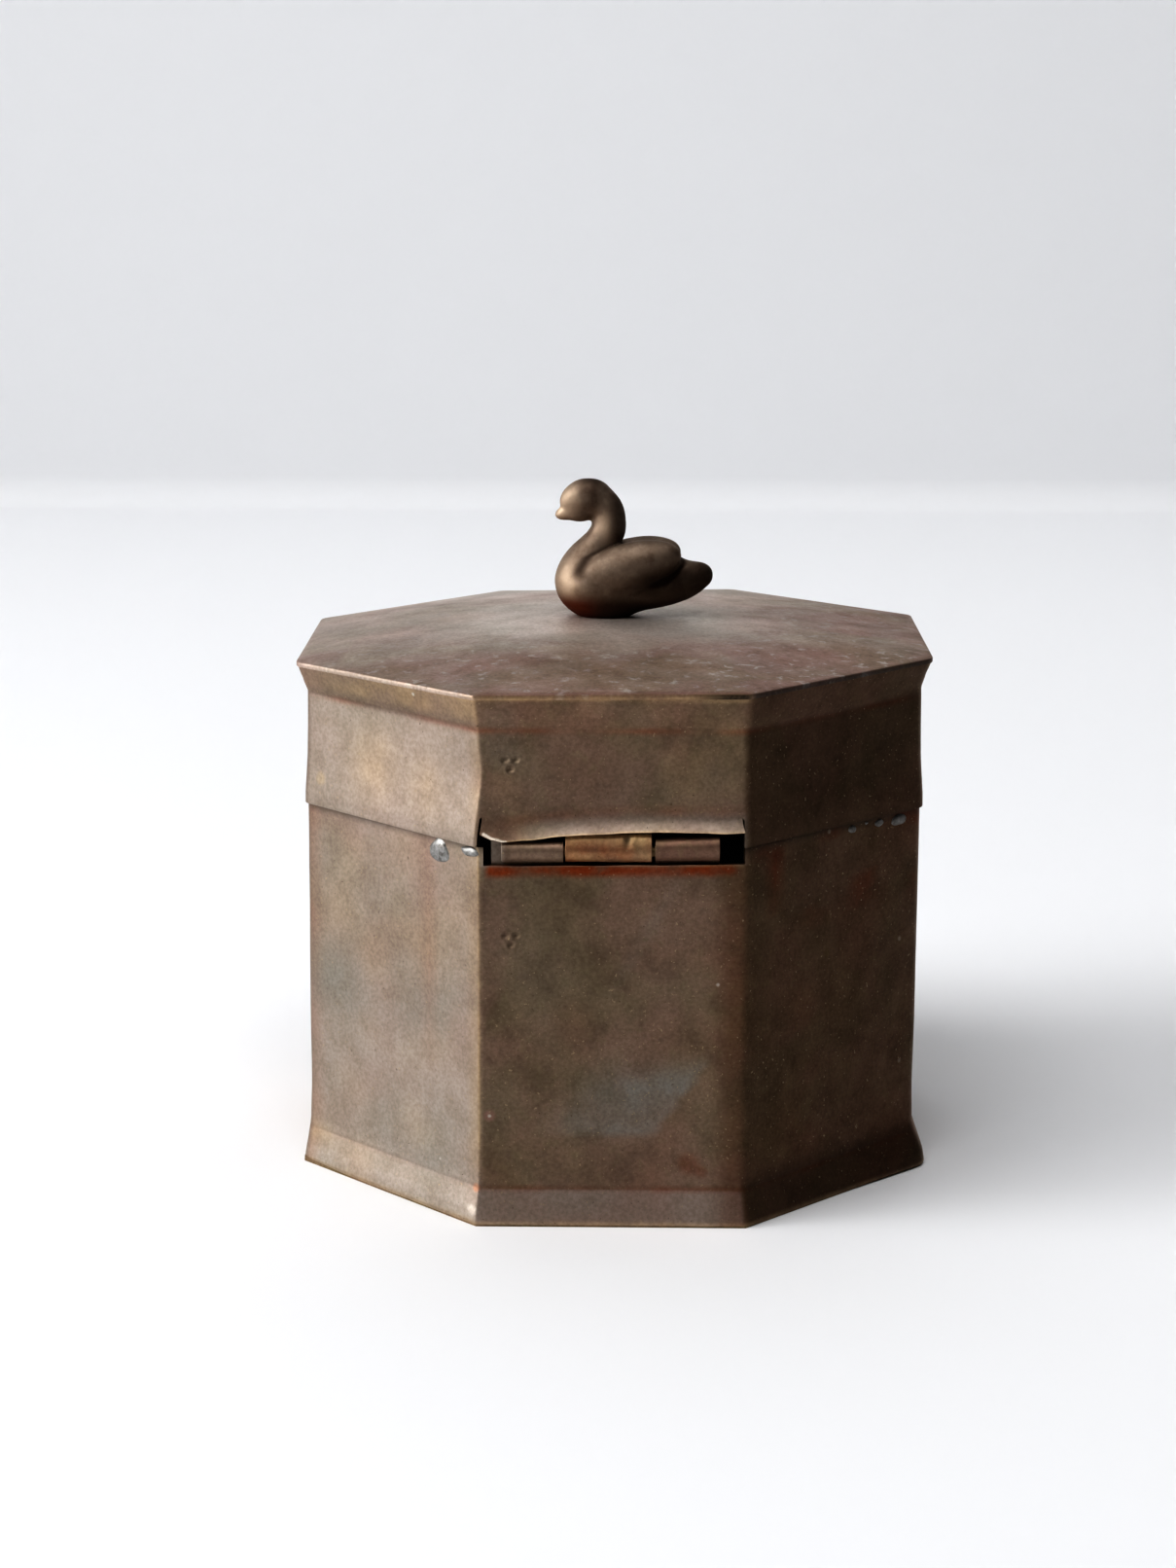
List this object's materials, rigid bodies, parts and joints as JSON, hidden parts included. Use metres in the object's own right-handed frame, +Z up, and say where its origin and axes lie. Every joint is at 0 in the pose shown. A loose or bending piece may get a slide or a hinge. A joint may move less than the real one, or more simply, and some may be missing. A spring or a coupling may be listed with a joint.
{
  "type": "needle case",
  "caption": "Eight-sided sheet-brass needle box with a flared foot, a hinged domed lid and a small cast swan as its knob.",
  "frame": {"origin": "centre of the underside of the base plate, on the surface that the box stands on", "axes": "+Z up, from the base to the swan; +X along the hinge pin; the hinge is on the -Y face and the lid's opening edge at +Y; the swan faces -X. The view along +Y shows the hinge face, as the picture does."},
  "size_m": [0.093, 0.093, 0.1009],
  "materials": {
    "wall_brass": "tarnished, brown patina with olive and grey mottling, satin",
    "base_brass": "tarnished, brown patina, rubbed at the edge",
    "collar_brass": "lightly tarnished, satin",
    "lid_brass": "tarnished, brown patina with gold patches, satin",
    "lid_top_brass": "tarnished, grey-brown with pale specks, satin",
    "hinge_brass": "tarnished, reddish gold where it is rubbed",
    "pin_brass": "drawn wire, dulled",
    "cast_brass": "cast, dark in the hollows and rubbed bright on the high places",
    "fixing_brass": "turned, dulled",
    "solder": "soft solder, grey, uneven"
  },
  "bodies": {
    "box": {"base_plate": "base_brass", "body_wall": "wall_brass", "base_solder": "solder", "wall_seam_solder": "solder", "inner_collar": "collar_brass", "solder_drops": "solder", "body_hinge_leaf": "hinge_brass", "hinge_pin": "pin_brass"},
    "lid": {"lid_hinge_leaf": "hinge_brass", "lid_skirt": "lid_brass", "lid_seam_solder": "solder", "lid_top": "lid_top_brass", "rim_solder": "solder", "finial_washer": "fixing_brass", "finial_screw": "fixing_brass", "swan_finial": "cast_brass"}
  },
  "joints": [
    {"name": "lid_hinge", "type": "hinge", "parent": "box", "child": "lid", "pos_m": [0, -0.0449, 0.05475], "axis": [1, 0, 0], "range_deg": [0, 100]}
  ]
}
